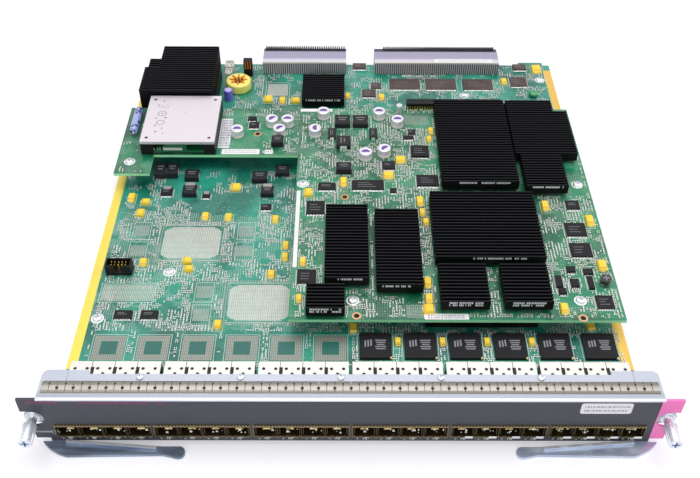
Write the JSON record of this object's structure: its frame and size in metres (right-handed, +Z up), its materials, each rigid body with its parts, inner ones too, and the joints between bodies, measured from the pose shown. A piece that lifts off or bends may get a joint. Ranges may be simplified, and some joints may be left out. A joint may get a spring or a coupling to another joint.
{
  "type": "switch line card",
  "caption": "Plug-in switch line card: painted front panel with ganged transceiver cages, long main board, raised daughter board with finned heat sinks, ejector levers and captive screws.",
  "frame": {"origin": "bottom centre of the card's bounding box, level with the levers' undersides", "axes": "+X across the card to the right seen from the front, +Y back from the front panel to the backplane connectors, +Z up from the board to the heat sinks"},
  "size_m": [0.3886, 0.4356, 0.0446],
  "materials": {
    "panel_paint": "satin",
    "rail_steel": "satin",
    "cage_metal": "satin",
    "finger_metal": "satin",
    "screw_steel": "polished",
    "board_green": "glossy",
    "daughter_green": "glossy",
    "chip_black": "matte",
    "sink_black": "anodised",
    "tantalum_yellow": "satin",
    "can_metal": "satin",
    "film_blue": "satin",
    "radial_violet": "glossy",
    "choke_yellow": "satin",
    "copper_wire": "enamelled",
    "connector_grey": "satin",
    "shell_grey": "satin",
    "plastic_black": "satin",
    "plastic_white": "satin",
    "contact_gold": "plated",
    "baseplate": "brushed",
    "lever_zinc": "satin",
    "knob_nickel": "satin",
    "ferrite": "matte"
  },
  "bodies": {
    "card": {"axial_capacitor": "film_blue", "backplane_shell_left": "shell_grey", "backplane_shell_right": "shell_grey", "backplane_wafers_left": "connector_grey", "backplane_wafers_right": "connector_grey", "board_screws": "screw_steel", "brick_blocks": "plastic_black", "brick_board": "board_green", "brick_plate": "baseplate", "cage_collars": "cage_metal", "can_capacitors": "can_metal", "carrier_rail": "rail_steel", "choke_core": "choke_yellow", "choke_winding": "copper_wire", "contact_pins": "contact_gold", "daughter_board": "daughter_green", "ferrules": "knob_nickel", "finger_strip": "finger_metal", "front_panel": "panel_paint", "hub_sink": "sink_black", "inductors": "ferrite", "leaded_capacitors": "radial_violet", "lever_pins": "screw_steel", "logic_chips": "chip_black", "main_board": "board_green", "phy_chips": "chip_black", "pin_header": "plastic_black", "port_cage_1": "cage_metal", "port_cage_2": "cage_metal", "port_cage_3": "cage_metal", "port_cage_4": "cage_metal", "port_cage_5": "cage_metal", "port_cage_6": "cage_metal", "port_sockets": "plastic_black", "rail_screws": "screw_steel", "rear_block": "plastic_black", "rear_power_module": "plastic_black", "rear_sink": "sink_black", "screw_spring_left": "screw_steel", "screw_spring_right": "screw_steel", "sink_centre": "sink_black", "sink_corner": "sink_black", "sink_front_middle": "sink_black", "sink_front_right": "sink_black", "sink_left": "sink_black", "sink_packages": "chip_black", "sink_stepped": "sink_black", "sink_tall": "sink_black", "sink_wide": "sink_black", "stack_connector": "plastic_black", "standoffs": "knob_nickel", "tantalum_capacitors": "tantalum_yellow", "under_sink": "sink_black", "white_connectors": "plastic_white"},
    "lever_left": {"lever_left": "lever_zinc"},
    "lever_right": {"lever_right": "lever_zinc"},
    "clip_left": {"retaining_clip_left": "screw_steel"},
    "clip_right": {"retaining_clip_right": "screw_steel"},
    "screw_left": {"captive_screw_left": "knob_nickel"},
    "screw_right": {"captive_screw_right": "knob_nickel"}
  },
  "joints": [
    {"name": "lever_left_hinge", "type": "hinge", "parent": "card", "child": "lever_left", "pos_m": [-0.176, -0.1942, 0.001], "axis": [0, 0, 1], "range_deg": [-55, 0]},
    {"name": "lever_right_hinge", "type": "hinge", "parent": "card", "child": "lever_right", "pos_m": [0.176, -0.1942, 0.001], "axis": [0, 0, 1], "range_deg": [0, 55]},
    {"name": "screw_left_press", "type": "slide", "parent": "card", "child": "clip_left", "axis": [0, 1, 0], "range_m": [0, 0.0038], "stiffness_N_per_m": 300, "springref_m": -0.003, "deforming": ["screw_spring_left"]},
    {"name": "screw_right_press", "type": "slide", "parent": "card", "child": "clip_right", "axis": [0, 1, 0], "range_m": [0, 0.0038], "stiffness_N_per_m": 300, "springref_m": -0.003, "deforming": ["screw_spring_right"]},
    {"name": "screw_left_turn", "type": "hinge", "parent": "clip_left", "child": "screw_left", "pos_m": [-0.18875, -0.2002, 0.02405], "axis": [0, 1, 0], "continuous": true},
    {"name": "screw_right_turn", "type": "hinge", "parent": "clip_right", "child": "screw_right", "pos_m": [0.18875, -0.2002, 0.02405], "axis": [0, 1, 0], "continuous": true}
  ]
}
